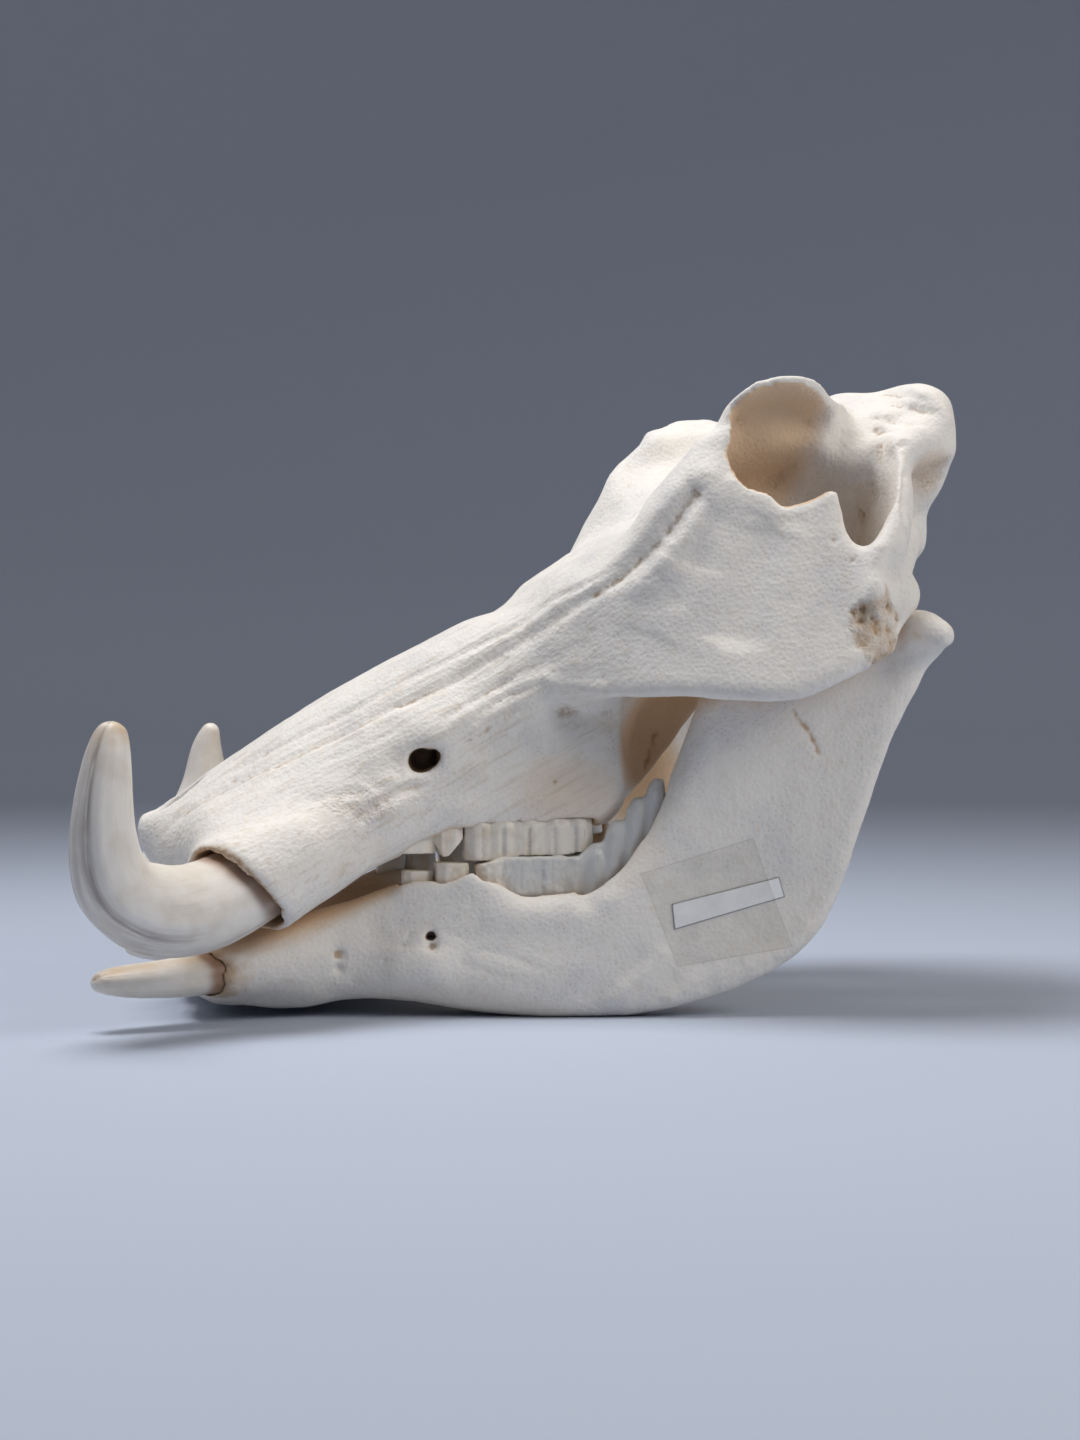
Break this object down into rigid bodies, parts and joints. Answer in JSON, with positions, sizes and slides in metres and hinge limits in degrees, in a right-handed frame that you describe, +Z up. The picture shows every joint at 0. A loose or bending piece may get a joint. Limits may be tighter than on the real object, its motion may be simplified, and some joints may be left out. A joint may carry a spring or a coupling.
{
  "type": "warthog skull",
  "caption": "Bleached warthog skull lying on its lower jaw, with curved upper tusks, short lower tusks, worn cheek teeth and a blank taped label on the jaw.",
  "frame": {"origin": "under the middle of the whole skull, on the surface it stands on", "axes": "-X towards the snout, -Y towards the animal's left side, +Z up"},
  "size_m": [0.3482, 0.211, 0.2477],
  "materials": {
    "bone": "bleached dry bone, matte",
    "ivory": "worn ivory, satin",
    "enamel": "worn tooth, satin",
    "card": "plain paper",
    "tape": "clear film"
  },
  "bodies": {
    "root": {"cranium": "bone", "lower_jaw": "bone", "left_upper_tusk": "ivory", "right_upper_tusk": "ivory", "left_lower_tusk": "ivory", "right_lower_tusk": "ivory", "left_upper_front_premolar": "enamel", "right_upper_front_premolar": "enamel", "left_upper_rear_premolar": "enamel", "right_upper_rear_premolar": "enamel", "left_upper_molar": "enamel", "right_upper_molar": "enamel", "left_lower_front_premolar": "enamel", "right_lower_front_premolar": "enamel", "left_lower_rear_premolar": "enamel", "right_lower_rear_premolar": "enamel", "left_lower_molar": "enamel", "right_lower_molar": "enamel", "label_card": "card", "label_tape": "tape"}
  },
  "joints": []
}
